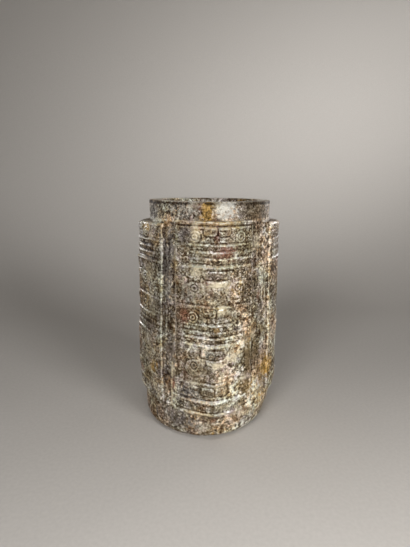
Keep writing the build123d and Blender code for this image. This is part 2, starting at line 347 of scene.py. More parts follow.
def stained(points, kind):
    """How strongly one kind of stain shows at points, from 0 to 1."""
    falloff = 0.7
    x, y, z = np.moveaxis(points, -1, 0)
    turn = np.degrees(np.arctan2(y, x)) - CORNERS["front"].heading
    degree = math.radians(1.0) * np.hypot(x, y)
    strength = np.zeros(x.shape)
    for stain in STAINS:
        if stain.kind == kind:
            aside = (turn - stain.turn + 180.0) % 360.0 - 180.0
            reach = (aside * degree / stain.half_width) ** 2 + ((z - stain.level) / stain.half_height) ** 2
            strength = np.maximum(strength, stain.strength * np.exp(-falloff * reach))
    return strength


def weathered(points):
    """How far burial has changed a surface, in millimetres: hollows, lumps, pits and a rough chalky crust."""
    loss = 0.22
    hollows = 0.16 * lumps(points, 13.0, 3) + 0.12 * lumps(points, 5.5, 4)
    fine = 0.04 * lumps(points, 2.2, 5) + 0.05 * lumps(points, 1.1, 6)
    pits = 0.4 * np.clip(lumps(points, 2.4, 7) - 0.42, 0.0, 1.0)
    crust = 0.35 * lumps(points, 2.8, 8) - 0.9 * np.clip(lumps(points, 2.0, 9) - 0.25, 0.0, 1.0)
    return hollows + fine - pits - loss + stained(points, "chalk") * crust


# Carving, on a face laid flat: across is the distance from the ridge and z is the level

def bar_distance(across, z, half_width, foot, top, corner):
    """Distance outside a bar with rounded corners, and below 0 inside it."""
    middle = (foot + top) / 2
    past_side = np.abs(across) - half_width + corner
    past_end = np.abs(z - middle) - (top - foot) / 2 + corner
    outside = np.hypot(np.maximum(past_side, 0.0), np.maximum(past_end, 0.0))
    return outside + np.minimum(np.maximum(past_side, past_end), 0.0) - corner


def raised(distance, edge):
    """1 inside an outline and 0 outside it, with an edge of a given width."""
    return ramp(-distance, -edge / 2, edge / 2)


def line(distance, width):
    """1 on an outline, fading to 0 beside it: the section of a cut or raised line."""
    return np.exp(-((distance / width) ** 2))


def ledges(z, group):
    """Ledges that face up: each stands out at its level and slopes back below it to the next register."""
    relief = 0.0
    for level, step in group:
        below = level - z
        slope_back = np.exp(-np.clip(below - 0.5, 0.0, None) / (1.4 + 1.2 * step))
        cut_above = 0.26 * line(below + 0.6 + step, 0.45)
        relief = relief + step * ramp(below, -0.9 * step, 0.4) * slope_back - cut_above
    return relief


def ringed_eye(distance, ring_radius, pupil_radius):
    """A drilled eye: a pupil, a raised ring and a cut ring round it, with a second raised ring outside."""
    pupil = -0.55 * ramp(-distance, -pupil_radius - 0.25, -pupil_radius + 0.3)
    inner_ring = 0.25 * line(distance - (ring_radius + pupil_radius) / 2, 0.4)
    cut_ring = -0.5 * line(distance - ring_radius, 0.38)
    outer_ring = 0.2 * line(distance - ring_radius - 0.85, 0.42)
    return pupil + inner_ring + cut_ring + outer_ring


def face_mask(across, z, mask, skew):
    """A human face: a nose in two rounded halves, and two small ringed eyes."""
    nose_gap, nose_corner = 0.3, 1.9
    eye_out, disc_radius, ring_radius, pupil_radius = 14.8, 3.3, 2.1, 0.7
    relief = 0.0
    half = mask.nose_half / 2 - nose_gap / 2
    for side in (-1, 1):
        from_middle = across - mask.nose_shift * skew - side * (half + nose_gap)
        nose = bar_distance(from_middle, z, half, mask.nose_foot, mask.nose_top, nose_corner)
        relief = relief + mask.nose_depth * (raised(nose, 1.0) - 0.35 * line(nose - 0.4, 0.42))
        eye = np.hypot(across - side * eye_out - mask.eye_shift * skew, z - mask.eye_level)
        disc = 0.26 * raised(eye - disc_radius, 0.7) - 0.15 * line(eye - disc_radius - 0.6, 0.4)
        relief = relief + mask.eye_depth * (disc + ringed_eye(eye, ring_radius, pupil_radius))
    return relief


def eye_pads(across, z, mask, skew):
    """The tilted oval pads of a beast, each with a ringed eye above its middle."""
    eye_out, ring_radius, pupil_radius = 14.2, 2.2, 0.7
    pad_half_width, pad_half_height, pad_mean_half, pad_drop = 6.2, 5.3, 5.6, 1.4
    tilt = math.radians(12.0)
    relief = 0.0
    for side in (-1, 1):
        out = side * (across - side * eye_out - mask.eye_shift * skew)
        up = z - mask.eye_level
        along = out * math.cos(tilt) - up * math.sin(tilt)
        over = out * math.sin(tilt) + up * math.cos(tilt) + pad_drop
        pad = (np.hypot(along / pad_half_width, over / pad_half_height) - 1.0) * pad_mean_half
        eye = np.hypot(out, up)
        relief = relief + 0.3 * raised(pad, 1.2) - 0.08 * line(pad - 0.5, 0.42)
        relief = relief + ringed_eye(eye, ring_radius, pupil_radius)
    return relief


def beast_mask(across, z, mask, skew):
    """A beast: a broad nose, ringed eyes on oval pads, a bridge between them and a fan of lines below it."""
    nose_corner = 2.2
    bridge_half, bridge_rise, bridge_corner, bridge_lift, bridge_arch = 6.5, 1.5, 1.3, 2.6, 0.02
    fan_narrow, fan_spread, spoke_count = 3.0, 5.8, 3.0
    from_nose = across - mask.nose_shift * skew
    nose = bar_distance(from_nose, z, mask.nose_half, mask.nose_foot, mask.nose_top, nose_corner)
    nose_bar = mask.nose_depth * (raised(nose, 1.2) - 0.2 * line(nose - 0.5, 0.45))
    relief = eye_pads(across, z, mask, skew)
    from_middle = across - mask.eye_shift * skew
    over_bridge = z - mask.eye_level - bridge_lift - bridge_arch * from_middle**2
    bridge = bar_distance(from_middle, over_bridge, bridge_half, -bridge_rise, bridge_rise, bridge_corner)
    relief = relief + 0.4 * raised(bridge, 1.0) - 0.1 * line(bridge - 0.4, 0.4)
    fan_top = mask.eye_level + 0.6
    fan_part = np.clip((fan_top - z) / (fan_top - mask.foot), 0.0, 1.0)
    fan_half = fan_narrow + fan_spread * fan_part
    inside = ramp(z, mask.foot + 0.6, mask.foot + 1.2) * (1.0 - ramp(z, fan_top - 0.3, fan_top + 0.3))
    outline = line(np.abs(from_middle) - fan_half, 0.45)
    spokes = 0.5 + 0.5 * np.cos(from_middle / fan_half * math.pi * spoke_count)
    filled = raised(np.abs(from_middle) - fan_half, 0.6)
    fan = inside * (0.22 * filled - 0.1 * filled * spokes - 0.16 * outline)
    return nose_bar + mask.eye_depth * (relief + fan)


def carving(across, z, face_width, skew, clear):
    """The relief of a whole corner over its plain faces, with its fine work only as deep as it is clear."""
    groove_drop = 1.5
    relief = ledges(z, THIN_LEDGES)
    for level in FINE_LINES:
        relief = relief - 0.2 * line(z - level, 0.25)
    for mask in FACES:
        relief = relief + face_mask(across, z, mask, skew)
    for mask in BEASTS:
        relief = relief + beast_mask(across, z, mask, skew)
    top_groove = 0.75 * line(block_top - groove_drop - z, 0.6)
    split = 0.12 * line(across, 0.6)
    out = np.clip(np.abs(across) / face_width, 0.0, 1.0)
    fade = 1.0 + (edge_share - 1.0) * out**2
    return fade * (ledges(z, STRONG_LEDGES) + clear * relief - top_groove - split)


# Meshes

def polar(radius, angle, z):
    """Points from a radius, an angle in degrees and a level."""
    turn = np.radians(angle)
    return np.stack(np.broadcast_arrays(radius * np.cos(turn), radius * np.sin(turn), z), axis=-1)


def quads(numbers):
    """Faces over a grid of vertex numbers, whose rows run up and columns run to the right."""
    corners = (numbers[:-1, :-1], numbers[:-1, 1:], numbers[1:, 1:], numbers[1:, :-1])
    return np.stack(corners, axis=-1).reshape(-1, 4).tolist()


def spaced(low, high, step, edge):
    """Places from low to high, close together near both ends for a rounded edge."""
    near = edge * np.array((0.0, 0.12, 0.3, 0.6))
    count = int(round((high - low - 2 * edge) / step))
    middle = np.linspace(low + edge, high - edge, count + 1)
    return np.concatenate((low + near, middle, high - near[::-1]))


def stone_mesh(name, vertices, faces, soil_and_shade, worn):
    """A piece of the stone from points in millimetres, with how much soil and painted shade, how much wear
    and painted highlight, and how much stain each point has.
    """
    sharp_from = 70.0
    mesh = bpy.data.meshes.new(name)
    mesh.from_pydata((vertices * MILLIMETRE).tolist(), [], faces)
    layers = {"soil_and_shade": soil_and_shade, "worn": worn} | {kind: stained(vertices, kind) for kind in STAIN_KINDS}
    for label, values in layers.items():
        layer = mesh.attributes.new(label, "FLOAT", "POINT")
        layer.data.foreach_set("value", np.ascontiguousarray(np.clip(values, 0.0, 1.0), dtype=np.float32))
    mesh.shade_smooth()
    mesh.set_sharp_from_angle(angle=math.radians(sharp_from))
    mesh.materials.append(stone)
    piece = bpy.data.objects.new(name, mesh)
    bpy.context.collection.objects.link(piece)
    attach(piece, "root")
    return piece


# Corner blocks

def tube_radius(z):
    """The tube's radius at a level: it widens towards its foot."""
    part = np.clip((z - block_foot) / block_height, 0.0, 1.0)
    return tube_foot_radius + (tube_top_radius - tube_foot_radius) * part


def ridge_lean(corner, z):
    """How far a ridge has wandered from its heading at a level, in degrees. It wanders most near the top."""
    return corner.lean * np.clip((z - block_foot) / block_height, 0.0, None) ** 1.4


def face_radius(corner, angle, z, side):
    """Distance from the tube's axis to the plain face on one side of a ridge."""
    edge_angle = corner.heading + (corner.right_spread if side > 0 else -corner.left_spread)
    ridge = polar(ridge_radius, corner.heading + ridge_lean(corner, z), z)[..., :2]
    edge = polar(edge_radius, edge_angle, z)[..., :2]
    chord = edge - ridge
    length = np.linalg.norm(chord, axis=-1, keepdims=True)
    outward = np.stack((chord[..., 1], -chord[..., 0]), axis=-1) * side / length
    centre = (ridge + edge) / 2 - outward * np.sqrt(face_plan_radius**2 - (length / 2) ** 2)
    radius = face_plan_radius - corner.draw_in * (z - block_foot) / block_height
    turn = np.radians(angle)
    along = np.cos(turn) * centre[..., 0] + np.sin(turn) * centre[..., 1]
    return along + np.sqrt(along**2 - np.sum(centre**2, axis=-1) + radius**2)


def soft_least(first, second, blend):
    """The lesser of two fields, with a rounded join."""
    part = np.clip(0.5 + (second - first) / (2 * blend), 0.0, 1.0)
    return second + (first - second) * part - blend * part * (1.0 - part)


def rounding(distance, radius):
    """How far a rounded edge falls back at a distance from it."""
    short = np.clip(radius - distance, 0.0, None)
    return radius - np.sqrt(np.clip(radius**2 - np.minimum(short, radius) ** 2, 0.0, None))


def face_layout(corner):
    """The plain faces of a corner as a grid: angles, levels, radii, points, and distances from the ridge."""
    ridge_blend, edge_wander, wander_size = 0.5, 0.4, 15.0
    levels = spaced(block_foot - corner.foot_drop, block_top - corner.top_wear, row_step, fine_edge)
    degree = math.radians(1.0) * edge_radius
    left = spaced(-corner.left_spread * degree, 0.0, column_step, fine_edge) / degree
    right = spaced(0.0, corner.right_spread * degree, column_step, fine_edge) / degree
    turn = np.concatenate((left, right[1:]))
    z = levels[:, None]
    lean = ridge_lean(corner, z)
    spread = np.where(turn < 0, corner.left_spread, corner.right_spread)
    out = np.abs(turn) / spread
    wander = edge_wander * lumps(polar(60.0, corner.heading, levels), wander_size, corner.seed)[:, None]
    angle = corner.heading + turn + lean * (1.0 - out) + wander * out * np.sign(turn)
    plain = soft_least(face_radius(corner, angle, z, -1), face_radius(corner, angle, z, 1), ridge_blend)
    spots = polar(plain, angle, z)
    steps = np.linalg.norm(np.diff(spots[..., :2], axis=1), axis=-1)
    across = np.concatenate((np.zeros((len(levels), 1)), np.cumsum(steps, axis=1)), axis=1)
    ridge_column = len(left) - 1
    return angle, z, plain, spots, across - across[:, ridge_column : ridge_column + 1]


def carved_faces(corner, z, plain, spots, across):
    """The relief on a corner's faces, and how much soil and painted shade and how much wear and painted
    highlight each point of them has.
    """
    full_slope, fade_height, ridge_half, polish_and_highlight_half = 1.1, 28.0, 6.0, 11.0
    seed = corner.seed
    warped = across + 0.35 * lumps(spots, 9.0, seed + 1)
    warped_z = z + 0.3 * lumps(spots, 11.0, seed + 2)
    crust = stained(spots, "chalk")
    towards_top = ramp(z, block_foot, block_top)
    clarity = corner.foot_clarity + (corner.top_clarity - corner.foot_clarity) * towards_top
    lost = 0.4 * ramp(lumps(spots, 8.0, seed + 3), -0.1, 0.8)
    lost = lost + 0.25 * ramp(lumps(spots, 3.5, seed + 7), 0.0, 0.7)
    kept = clarity * (1.0 - 0.75 * crust) * (1.0 - 0.7 * stained(spots, "bare"))
    carved = kept * carving(warped, warped_z, across[:, -1:], corner.skew, 1.0 - lost)
    chip = np.clip(lumps(spots, 5.0, seed + 4), 0.0, 1.0)
    from_side = np.minimum(across - across[:, :1], across[:, -1:] - across)
    from_top = z[-1] - z
    from_foot = z - z[0]
    foot_reach = np.clip(plain - lower_collar_radius, 0.8, 3.0) + 0.5 * corner.foot_drop
    broken_ridge = 0.7 * np.exp(-((across / ridge_half) ** 2))
    relief = carved + weathered(spots) + face_rise
    relief = relief - rounding(from_side, 0.7 + 1.2 * chip + 1.5 * crust)
    relief = relief - rounding(from_top, 0.6 + 1.0 * chip + broken_ridge)
    relief = relief - rounding(from_foot, foot_reach)
    # A foot that runs further down than the front's fades into the lower collar
    fading = 0.5 * max(corner.foot_drop - CORNERS["front"].foot_drop, 0.0)
    relief = relief - fading * (1.0 - ramp(from_foot, 0.0, fade_height))

    over = relief - blurred(relief, 3)
    rise = np.gradient(blurred(carved, 1), z[:, 0], axis=0)
    faces_up = np.clip(-rise / full_slope, 0.0, 1.0)
    faces_down = np.clip(rise / full_slope, 0.0, 1.0)
    # Dips hold darker soil, and the slopes that face down under the ledges get painted shade
    soil_and_shade = np.clip(-over / full_relief, 0.0, 1.0) + 0.45 * faces_down
    rubbed_off = ramp(lumps(spots, 4.0, seed + 6), -0.3, 0.6)
    side_arris = np.exp(-from_side / 0.8) * rubbed_off
    # The top edge is paler where hands have smoothed it, and its even share along the whole edge is a painted
    # highlight of the lit top
    top_arris = np.exp(-from_top / 0.9) * (0.6 + rubbed_off)
    arris = (side_arris + top_arris) * (1.0 - crust)
    strong = kept * ledges(warped_z, STRONG_LEDGES)
    lip = np.clip(-np.gradient(strong, z[:, 0], axis=0) / 0.6, 0.0, 1.0)
    near_ridge = np.exp(-((across / polish_and_highlight_half) ** 2))
    # Raised bumps are paler with wear. Ledges that face up, most of all the strong ledges' lips near the
    # ridge, get a painted highlight as if lit from above.
    worn = 0.7 * np.clip(over / full_relief, 0.0, 1.0) + (0.65 + 0.25 * near_ridge) * faces_up
    worn = worn + 0.8 * arris + 0.6 * near_ridge * lip
    return relief, soil_and_shade, worn * (1.0 - 0.7 * stained(spots, "umber_and_shadow"))


def corner_piece(name):
    """One corner of the stone as a closed mesh: its carved faces, channel walls, ledges and hidden back."""
    corner = CORNERS[name]
    angle, z, plain, spots, across = face_layout(corner)
    relief, soil_and_shade, worn = carved_faces(corner, z, plain, spots, across)
    radius = plain + relief
    rows, columns = radius.shape
    depth = np.linspace(0.0, 1.0, 8)[1:]
    inside_tube = 1.6
    grids = [polar(radius, angle, z)]
    soil_and_shade_grids = [soil_and_shade]
    rubbed_and_highlit = [worn]
    numbers = [np.arange(rows * columns).reshape(rows, columns)]

    def added(grid, soil_and_shade_part):
        """Adds a grid of points that hands don't reach, and gives their numbers."""
        start = numbers[-1].max() + 1
        grids.append(grid)
        soil_and_shade_grids.append(np.broadcast_to(soil_and_shade_part, grid.shape[:-1]))
        rubbed_and_highlit.append(np.zeros(grid.shape[:-1]))
        numbers.append(np.arange(start, start + grid[..., 0].size).reshape(grid.shape[:-1]))
        return numbers[-1]

    face = numbers[0]
    inner = tube_radius(z) - inside_tube
    walls = []
    for column, side in ((0, -1), (columns - 1, 1)):
        reach = radius[:, column : column + 1]
        edge_angle = angle[:, column : column + 1]
        wall_radius = reach + (inner - reach) * depth
        flat = polar(wall_radius, edge_angle, z)
        flare = 1.1 * depth**3 + 0.35 * lumps(flat, 3.5, corner.seed + 5) * depth**0.5
        # The walls, like the caps below, darken the deeper they run in
        made = added(polar(wall_radius, edge_angle + side * flare, z), 0.15 + 0.6 * depth**2)
        walls.append(np.concatenate((face[:, column : column + 1], made), axis=1))
    left_wall, right_wall = walls
    caps = []
    for row in (0, rows - 1):
        reach = radius[row : row + 1, 1:-1]
        cap_radius = reach + (inner[row] - reach) * depth[:, None]
        made = added(polar(cap_radius, angle[row : row + 1, 1:-1], z[row]), 0.5 * depth[:, None] ** 2)
        made = np.concatenate((left_wall[row, 1:, None], made, right_wall[row, 1:, None]), axis=1)
        caps.append(np.concatenate((face[row : row + 1], made), axis=0))
    foot_cap, top_cap = caps
    faces = quads(face) + quads(left_wall[:, ::-1]) + quads(right_wall)
    faces += quads(top_cap) + quads(foot_cap[::-1])
    foot_line = foot_cap[-1]
    top_line = top_cap[-1]
    faces += quads(np.stack((foot_line, top_line))[:, 1:-1][:, ::-1])
    faces.append([int(n) for n in (foot_line[1], *left_wall[:, -1], top_line[1])])
    faces.append([int(n) for n in (top_line[-2], *right_wall[::-1, -1], foot_line[-2])])
    piece = stone_mesh(
        "carved_corner_" + name,
        np.concatenate([grid.reshape(-1, 3) for grid in grids]),
        faces,
        np.concatenate([part.ravel() for part in soil_and_shade_grids]),
        np.concatenate([part.ravel() for part in rubbed_and_highlit]),
    )
    kinds = ("corner_block_", "bands_", "noses_", "brow_panels_", "beast_eyes_", "face_eyes_")
    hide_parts(*(kind + name for kind in kinds))


# Collars and tube

def quarter(centre_radius, centre_level, radius, first, last):
    """Points of a rounded rim, between two directions in degrees, where 0 is outward and 90 is up."""
    count = max(6, int(radius * math.radians(abs(last - first)) / ring_step))
    turns = np.radians(np.linspace(first, last, count))
    return [(centre_radius + radius * math.cos(t), centre_level + radius * math.sin(t)) for t in turns]


def straight(radius, low, high, step):
    """Points up or down a wall."""
    count = max(1, int(round(abs(high - low) / step)))
    return [(radius, level) for level in np.linspace(low, high, count + 1)]


def ring_piece(name, node, angles, outer, inner):
    """A ring of stone round the axis, from the (radius, level) points of its outer and inner sides."""
    wear_turn, wear_depth, wear_height = -12.0, 4.2, 20.0
    radius, level = np.array(outer + inner).T
    radius = radius[:, None]
    z = level[:, None]
    smooth = polar(radius, angles[None, :], z)
    eaten = np.minimum(weathered(smooth), 0.0)
    inside = (np.arange(len(radius)) >= len(outer))[:, None]
    # The foot is worn most on its right, a little towards the front
    rightward = np.clip(np.cos(np.radians(angles - wear_turn)), 0.0, 1.0)
    foot_wear = wear_depth * rightward**1.2 * (1.0 - ramp(z, 0.0, wear_height))
    between = (z > block_foot) * (z < block_top)
    fill = 1.3 * between * stained(smooth, "chalk")
    moved = radius + np.where(inside, -0.4 * eaten, eaten + fill - foot_wear)
    over = eaten - blurred(eaten, 3)
    # The rim's top is paler, partly with wear and partly as a painted highlight where it faces up to the
    # light
    rim = np.exp(-(tube_height - z) / 0.2)
    # A darker band runs round the collar just under the rim's outer edge
    under_rim = 1.2 * line(tube_height - 1.1 - z, 0.75) * ~inside
    streaks = between * ~inside * lumps(smooth * np.array((1.0, 1.0, 0.08)), 1.2, 12)
    # A pale line round the collar just over the corner blocks is a painted highlight of their lit top edges
    highlight_above_blocks = line(z - block_top - 0.4, 0.7) * ~inside
    soil_and_shade = np.clip(-over / full_relief, 0.0, 1.0) + under_rim + 0.7 * np.clip(-streaks, 0.0, 1.0)
    worn = np.clip(over / full_relief, 0.0, 1.0) + 0.6 * rim + 0.9 * highlight_above_blocks
    worn = worn + 0.5 * np.clip(streaks, 0.0, 1.0)
    worn = worn * (1.0 - 0.7 * stained(smooth, "umber_and_shadow"))
    numbers = np.arange(moved.size).reshape(moved.shape)
    numbers = np.concatenate((numbers, numbers[:, :1]), axis=1)
    numbers = np.concatenate((numbers, numbers[:1]), axis=0)
    vertices = polar(moved, angles[None, :], z).reshape(-1, 3)
    piece = stone_mesh(name, vertices, quads(numbers), soil_and_shade.ravel(), worn.ravel())
    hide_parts(node)


def channel_angles():
    """Angles round the tube, close together in the channels and wide apart behind the corner blocks."""
    behind, hidden_step, shown_step = 3.0, 6.0, 0.6
    edges = []
    for corner in CORNERS.values():
        start = corner.heading - corner.left_spread + behind
        end = corner.heading + corner.right_spread - behind
        edges.append((start, end))
    angles = []
    for place, (start, end) in enumerate(edges):
        next_start = edges[(place + 1) % len(edges)][0] + (360.0 if place == len(edges) - 1 else 0.0)
        angles.append(np.arange(start, end - hidden_step / 2, hidden_step))
        angles.append(np.arange(end, next_start - shown_step / 2, shown_step))
    return np.concatenate(angles)


def collars_and_tube():
    """The two plain collars, and the tube between them, which shows in the channels."""
    past_round = 1.0
    around = np.linspace(0.0, 360.0, int(2 * math.pi * tube_top_radius / ring_step), endpoint=False)
    upper_rim = tube_height - rim_round
    outer = straight(tube_top_radius, block_top, upper_rim, ring_step)
    outer += quarter(tube_top_radius - rim_round, upper_rim, rim_round, 15.0, 90.0)
    inner = quarter(bore_radius + rim_round, upper_rim, rim_round, 90.0, 180.0)
    inner += straight(bore_radius, upper_rim - past_round, block_top, bore_step)
    ring_piece("worn_upper_collar", "upper_collar", around, outer, inner)

    outer = quarter(lower_collar_radius - foot_round, foot_round, foot_round, -90.0, 0.0)
    outer += straight(lower_collar_radius, foot_round + ring_step, block_foot, ring_step)
    inner = straight(bore_radius, block_foot, rim_round + past_round, bore_step)
    inner += quarter(bore_radius + rim_round, rim_round, rim_round, 180.0, 270.0)
    ring_piece("worn_lower_collar", "lower_collar", around, outer, inner)

    levels = np.array(straight(0.0, block_foot, block_top, ring_step))[:, 1]
    near_foot = np.clip(1.0 - (levels - block_foot) / foot_blend, 0.0, 1.0)
    flare = (lower_collar_radius - tube_foot_radius) * near_foot**2
    outer = list(zip(tube_radius(levels) + flare, levels))
    inner = straight(bore_radius, block_top, block_foot, bore_step)
    ring_piece("channelled_tube", "tube_wall", channel_angles(), outer, inner)


# Materials

def linear(code):
    """A colour written as an sRGB hex code, in the linear light that shaders use."""
    parts = [int(code[i : i + 2], 16) / 255.0 for i in (1, 3, 5)]
    return tuple(p / 12.92 if p <= 0.04045 else ((p + 0.055) / 1.055) ** 2.4 for p in parts) + (1.0,)


def add(tree, kind, settings=None, links=None, stops=()):
    """Adds a node, sets its properties and ramp stops, and fills or links its inputs."""
    node = tree.nodes.new(kind)
    for name, value in (settings or {}).items():
        setattr(node, name, value)
    for number, (place, code) in enumerate(stops):
        elements = node.color_ramp.elements
        element = elements[number] if number < len(elements) else elements.new(place)
        element.position = place
        element.color = linear(code)
    for name, value in (links or {}).items():
        socket = node.inputs[name]
        if isinstance(value, bpy.types.NodeSocket):
            tree.links.new(value, socket)
        else:
            socket.default_value = value
    return node


def new_material(name):
    """An empty node material."""
    material = bpy.data.materials.new(name)
    material.use_nodes = True
    material.node_tree.nodes.clear()
    return material


# What nodes do. A Mix node takes numbers at its inputs 2 and 3 and colours at 6 and 7.
ADD = {"operation": "ADD"}
MULTIPLY = {"operation": "MULTIPLY"}
MULTIPLY_ADD = {"operation": "MULTIPLY_ADD"}
SCALE = {"operation": "SCALE"}
TINTED = {"data_type": "RGBA", "blend_type": "MULTIPLY"}
COVERED = {"data_type": "RGBA"}

# The skin of the buried stone, from its darkest pits to its chalky crust
SKIN_STOPS = (
    (0.02, "#2a1a0b"),
    (0.20, "#47351f"),
    (0.36, "#61533e"),
    (0.52, "#7f7560"),
    (0.68, "#a49c8a"),
    (0.82, "#cfc9b6"),
    (0.97, "#faf6e4"),
)
# Its warm and cool tints, and its faint red and green ones
TINT_STOPS = ((0.22, "#e6c89c"), (0.42, "#fff6ea"), (0.56, "#faf9fe"), (0.78, "#c8c0ce"))
BLUSH_STOPS = ((0.32, "#ffede3"), (0.5, "#fdfffd"), (0.68, "#ebf5ee"))
# What stains the skin, and how fully it covers it. The pale grey and pale yellowish colours also paint
# highlights, and the darkest brown also paints shadow.
STAIN_COLOURS = {
    "polish_and_sheen": ("#b0aea6", 0.8),
    "cream_and_highlight": ("#b3a88e", 0.8),
    "slate": ("#7f7e77", 0.65),
    "ochre": ("#907032", 0.95),
    "rust": ("#5e3823", 0.95),
    "violet": ("#4a4241", 0.75),
    "olive": ("#4f3d1b", 0.9),
    "umber_and_shadow": ("#453622", 0.8),
}


def weathered_jade():
    """Nephrite, ground, polished and long buried. Its skin has turned to a crust of grey-brown and chalky
    grains, with soil in the hollows, iron stains, and a dull gloss on the edges that hands have smoothed.
    Ledges and edges that face up carry painted highlights, and slopes under ledges carry painted shade."""
    material = new_material("weathered_nephrite")
    tree = material.node_tree
    place = add(tree, "ShaderNodeTexCoord").outputs["Object"]
    spot = add(tree, "ShaderNodeVectorMath", SCALE, {0: place, "Scale": 1.0 / MILLIMETRE}).outputs[0]
    marks = {}
    for label in ("soil_and_shade", "worn") + STAIN_KINDS:
        marks[label] = add(tree, "ShaderNodeAttribute", {"attribute_name": label}).outputs["Fac"]

    # Clouded patches and flecks, by their size in millimetres
    clouds = {}
    for label, size, detail in (("patch", 17.0, 2.0), ("cloud", 5.0, 3.0), ("fleck", 1.6, 2.0)):
        inputs = {"Vector": spot, "Scale": 1.0 / size, "Detail": detail}
        clouds[label] = add(tree, "ShaderNodeTexNoise", None, inputs).outputs
    patch_parts = add(tree, "ShaderNodeSeparateColor", None, {0: clouds["patch"]["Color"]}).outputs
    ragged = add(
        tree, "ShaderNodeVectorMath", MULTIPLY_ADD,
        {0: clouds["fleck"]["Color"], 1: (1.8, 1.8, 1.8), 2: spot},
    ).outputs[0]

    # Ragged grains, by their size in millimetres. The stone's own are mostly under half a millimetre, which
    # is too fine to show, so grit and grain are drawn coarser. Lace is the pale net between larger lumps.
    cells = {}
    for label, size in (("grit", 0.75), ("grain", 1.4), ("lace", 2.4)):
        inputs = {"Vector": ragged, "Scale": 1.0 / size}
        cells[label] = add(tree, "ShaderNodeTexVoronoi", None, inputs).outputs
    grit = add(tree, "ShaderNodeSeparateColor", None, {0: cells["grit"]["Color"]}).outputs
    grain = add(tree, "ShaderNodeSeparateColor", None, {0: cells["grain"]["Color"]}).outputs
    lace_share = add(tree, "ShaderNodeMath", MULTIPLY_ADD, {0: marks["chalk"], 1: 1.1, 2: 0.3}).outputs[0]
    lace = add(tree, "ShaderNodeMath", MULTIPLY, {0: cells["lace"]["Distance"], 1: lace_share}).outputs[0]

    # Tone, from the darkest pits to the chalkiest crust. Smoothed skin and painted highlights are paler and
    # more even, soil and painted shade darker.
    middle_tone, rubbed_and_highlit_tone, evenness = 0.32, 0.76, 0.75
    mottle = ((clouds["patch"][0], 0.9), (clouds["cloud"][0], 1.0), (grit[0], 0.76), (grain[0], 0.3))
    shifts = ((lace, 1.0), (marks["worn"], 0.35), (marks["soil_and_shade"], -0.5), (marks["chalk"], -0.34))
    tone = middle_tone - 0.5 * sum(strength for field, strength in mottle)
    for field, strength in mottle + shifts:
        tone = add(tree, "ShaderNodeMath", MULTIPLY_ADD, {0: field, 1: strength, 2: tone}).outputs[0]
    rubbed_and_highlit = marks["cream_and_highlight"]
    for label, share in (("polish_and_sheen", 1.0), ("worn", 0.9)):
        rubbed_and_highlit = add(tree, "ShaderNodeMath", MULTIPLY_ADD, {0: marks[label], 1: share, 2: rubbed_and_highlit}).outputs[0]
    evened = add(tree, "ShaderNodeMath", MULTIPLY, {0: rubbed_and_highlit, 1: evenness}).outputs[0]
    tone = add(tree, "ShaderNodeMix", None, {0: evened, 2: tone, 3: rubbed_and_highlit_tone}).outputs[0]
    skin = add(tree, "ShaderNodeValToRGB", None, {"Fac": tone}, SKIN_STOPS).outputs["Color"]

    # Tints that drift from patch to patch and differ a little from grain to grain
    warmth = add(tree, "ShaderNodeMath", MULTIPLY_ADD, {0: grain[1], 1: 0.24, 2: -0.12}).outputs[0]
    warmth = add(tree, "ShaderNodeMath", ADD, {0: warmth, 1: clouds["cloud"][0]}).outputs[0]
    drift = add(tree, "ShaderNodeMath", {"operation": "SUBTRACT"}, {0: patch_parts[1], 1: 0.5}).outputs[0]
    warmth = add(tree, "ShaderNodeMath", ADD, {0: warmth, 1: drift}).outputs[0]
    tint = add(tree, "ShaderNodeValToRGB", None, {"Fac": warmth}, TINT_STOPS).outputs["Color"]
    colour = add(tree, "ShaderNodeMix", TINTED, {0: 1.0, 6: skin, 7: tint}).outputs[2]
    redness = add(tree, "ShaderNodeMath", MULTIPLY_ADD, {0: grain[2], 1: 0.2, 2: -0.1}).outputs[0]
    redness = add(tree, "ShaderNodeMath", ADD, {0: redness, 1: patch_parts[2]}).outputs[0]
    blush = add(tree, "ShaderNodeValToRGB", None, {"Fac": redness}, BLUSH_STOPS).outputs["Color"]
    colour = add(tree, "ShaderNodeMix", TINTED, {0: 1.0, 6: colour, 7: blush}).outputs[2]

    # Stains, which keep the light and dark of the skin, end grain by grain and thin out on edges that hands
    # wear and on painted highlights
    shade = add(
        tree, "ShaderNodeMapRange", None,
        {"Value": tone, "From Min": 0.05, "From Max": 0.95, "To Min": 0.15, "To Max": 2.1},
    ).outputs[0]
    ending = add(tree, "ShaderNodeMath", MULTIPLY_ADD, {0: grain[2], 1: 0.7, 2: -0.35}).outputs[0]
    ending = add(tree, "ShaderNodeMath", MULTIPLY_ADD, {0: marks["worn"], 1: -0.5, 2: ending}).outputs[0]
    for kind, (code, cover_most) in STAIN_COLOURS.items():
        stain = add(tree, "ShaderNodeVectorMath", SCALE, {0: linear(code)[:3], "Scale": shade}).outputs[0]
        reach = add(tree, "ShaderNodeMath", ADD, {0: marks[kind], 1: ending}).outputs[0]
        cover = add(
            tree, "ShaderNodeMapRange", {"interpolation_type": "SMOOTHSTEP"},
            {"Value": reach, "From Min": 0.2, "From Max": 0.8, "To Max": cover_most},
        ).outputs[0]
        colour = add(tree, "ShaderNodeMix", COVERED, {0: cover, 6: colour, 7: stain}).outputs[2]

